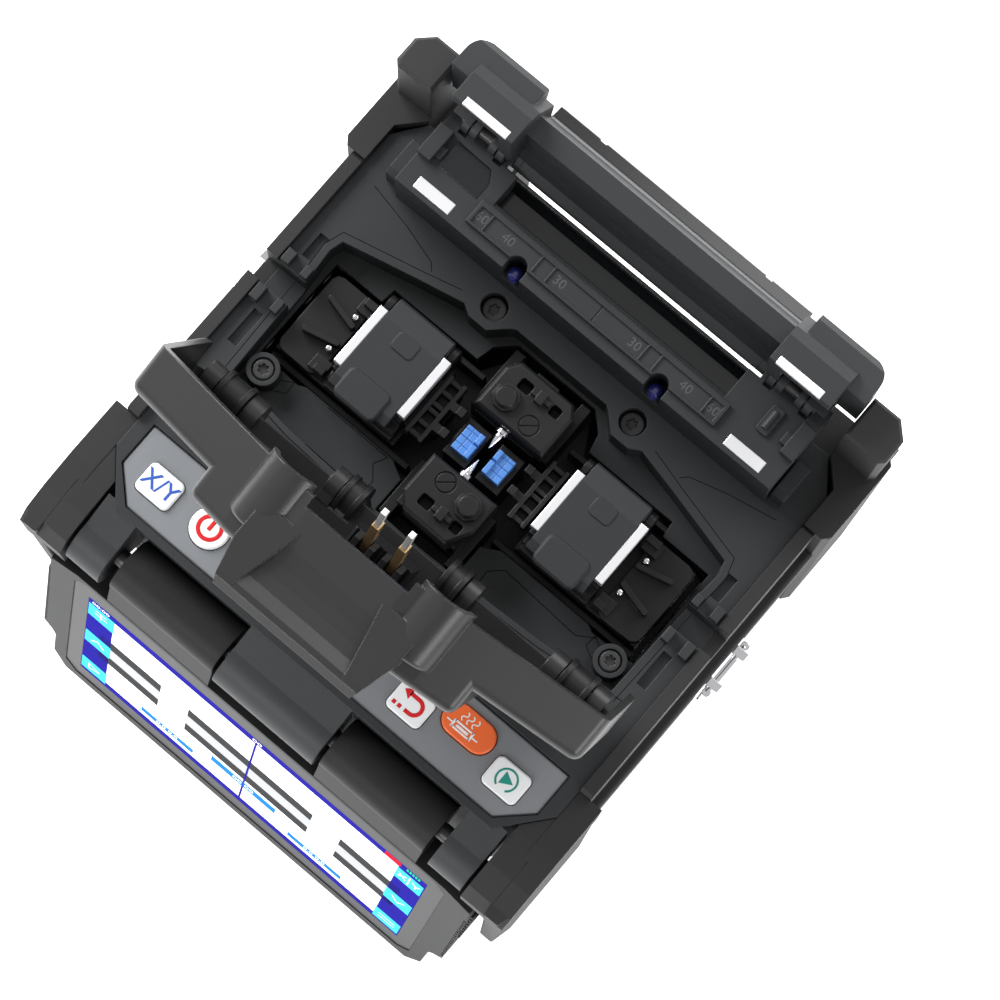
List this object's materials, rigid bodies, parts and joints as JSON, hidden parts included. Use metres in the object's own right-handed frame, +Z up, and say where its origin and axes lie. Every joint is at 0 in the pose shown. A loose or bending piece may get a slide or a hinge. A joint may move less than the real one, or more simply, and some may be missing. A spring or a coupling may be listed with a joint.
{
  "type": "optical fibre fusion splicer",
  "caption": "Field fusion splicer with its wind cover and sleeve heater open, silver keypad, and a tilting touch monitor on the front.",
  "frame": {"origin": "bottom centre of the whole machine with its covers open", "axes": "+X to the right of the user, +Y to the heater at the rear, +Z up"},
  "size_m": [0.1556, 0.1726, 0.189],
  "materials": {
    "case": "fine grained",
    "deck": "fine grained, slightly blue",
    "cover": "satin",
    "bumper": "matte",
    "foot": "matte",
    "frame": "matte",
    "monitor": "fine grained",
    "bezel": "gloss",
    "screen": "lit",
    "steel": "polished",
    "chrome": "mirror",
    "brass": "satin",
    "ceramic": "satin",
    "blue": "satin",
    "tungsten": "ground",
    "screwblack": "black oxide",
    "keypad": "satin silver grey",
    "key_white": "gloss",
    "key_orange": "gloss",
    "trough": "gloss black",
    "bar": "gloss",
    "strip": "satin",
    "lamp": "clear blue",
    "board": "solder mask",
    "pack": "matte",
    "alu": "anodised"
  },
  "bodies": {
    "machine": {"lower_case": "case", "base_plate": "case", "rubber_feet": "foot", "upper_deck": "deck", "corner_bumpers": "bumper", "side_rails": "bumper", "strap_lugs": "chrome", "hinge_pins": "steel", "bay_frame": "frame", "v_grooves": "blue", "electrodes": "tungsten", "electrode_cover_rear": "frame", "electrode_cover_front": "frame", "deck_screws": "screwblack", "cover_drums": "frame", "heater_base": "deck", "heater_trough": "trough", "heater_scale": "deck", "heater_lamps": "lamp", "heater_plates": "steel", "heater_stops": "deck", "keypad_plate": "keypad", "main_board": "board", "arc_transformer": "alu", "battery": "pack", "battery_door": "case", "cameras": "alu", "fan_frame": "frame", "io_ports": "frame"},
    "monitor": {"monitor_housing": "monitor", "monitor_back": "monitor", "monitor_bezel": "bezel", "display": "screen"},
    "cover": {"wind_cover": "cover", "presser_holders": "brass", "presser_tips": "ceramic", "presser_block": "frame"},
    "lid": {"heater_lid": "deck", "heater_reflector": "deck", "heater_lid_bar": "bar", "heater_lid_window": "strip", "heater_lid_strips": "steel"},
    "stage_right": {"sheath_stage_right": "frame", "clamp_pins_right": "chrome"},
    "stage_left": {"sheath_stage_left": "frame", "clamp_pins_left": "chrome"},
    "clamp_right": {"sheath_clamp_right": "deck", "clamp_strips_right": "steel"},
    "clamp_left": {"sheath_clamp_left": "deck", "clamp_strips_left": "steel"},
    "knob_rear": {"electrode_knob_rear": "frame"},
    "knob_front": {"electrode_knob_front": "frame"},
    "ring_right": {"strap_ring_right": "chrome"},
    "ring_left": {"strap_ring_left": "chrome"},
    "rotor": {"fan_rotor": "frame"},
    "key_xy_body": {"key_xy": "key_white"},
    "key_power_body": {"key_power": "key_white"},
    "key_reset_body": {"key_reset": "key_white"},
    "key_heat_body": {"key_heat": "key_orange"},
    "key_set_body": {"key_set": "key_white"}
  },
  "joints": [
    {"name": "monitor_tilt", "type": "hinge", "parent": "machine", "child": "monitor", "pos_m": [0, -0.06027, 0.1], "axis": [-1, 0, 0], "range_deg": [0, 110]},
    {"name": "cover_open", "type": "hinge", "parent": "machine", "child": "cover", "pos_m": [0, -0.01692, 0.1258], "axis": [1, 0, 0], "range_deg": [-108, 0]},
    {"name": "heater_lid_open", "type": "hinge", "parent": "machine", "child": "lid", "pos_m": [0, 0.06863, 0.1306], "axis": [-1, 0, 0], "range_deg": [-90, 0]},
    {"name": "stage_right_feed", "type": "slide", "parent": "machine", "child": "stage_right", "axis": [1, 0, 0], "range_m": [-0.0015, 0.0015]},
    {"name": "clamp_right_open", "type": "hinge", "parent": "stage_right", "child": "clamp_right", "pos_m": [0.0304, 0.02593, 0.1144], "axis": [-1, 0, 0], "range_deg": [0, 100]},
    {"name": "ring_right_swing", "type": "hinge", "parent": "machine", "child": "ring_right", "pos_m": [0.0754, 0.01473, 0.082], "axis": [0, -1, 0], "range_deg": [0, 140]},
    {"name": "stage_left_feed", "type": "slide", "parent": "machine", "child": "stage_left", "axis": [-1, 0, 0], "range_m": [-0.0015, 0.0015]},
    {"name": "clamp_left_open", "type": "hinge", "parent": "stage_left", "child": "clamp_left", "pos_m": [-0.0304, 0.02593, 0.1144], "axis": [-1, 0, 0], "range_deg": [0, 100]},
    {"name": "ring_left_swing", "type": "hinge", "parent": "machine", "child": "ring_left", "pos_m": [-0.0754, 0.01473, 0.082], "axis": [0, 1, 0], "range_deg": [0, 140]},
    {"name": "knob_rear_turn", "type": "hinge", "parent": "machine", "child": "knob_rear", "pos_m": [-0.0041, 0.02523, 0.121], "axis": [0, 0, 1], "continuous": true},
    {"name": "knob_front_turn", "type": "hinge", "parent": "machine", "child": "knob_front", "pos_m": [0.006, -0.00037, 0.121], "axis": [0, 0, 1], "continuous": true},
    {"name": "fan_spin", "type": "hinge", "parent": "machine", "child": "rotor", "pos_m": [0.028, 0.05873, 0.046], "axis": [0, 1, 0], "continuous": true},
    {"name": "key_xy_press", "type": "slide", "parent": "machine", "child": "key_xy_body", "axis": [0, 0, -1], "range_m": [0, 0.0008], "stiffness_N_per_m": 400},
    {"name": "key_power_press", "type": "slide", "parent": "machine", "child": "key_power_body", "axis": [0, 0, -1], "range_m": [0, 0.0008], "stiffness_N_per_m": 400},
    {"name": "key_reset_press", "type": "slide", "parent": "machine", "child": "key_reset_body", "axis": [0, 0, -1], "range_m": [0, 0.0008], "stiffness_N_per_m": 400},
    {"name": "key_heat_press", "type": "slide", "parent": "machine", "child": "key_heat_body", "axis": [0, 0, -1], "range_m": [0, 0.0008], "stiffness_N_per_m": 400},
    {"name": "key_set_press", "type": "slide", "parent": "machine", "child": "key_set_body", "axis": [0, 0, -1], "range_m": [0, 0.0008], "stiffness_N_per_m": 400}
  ]
}
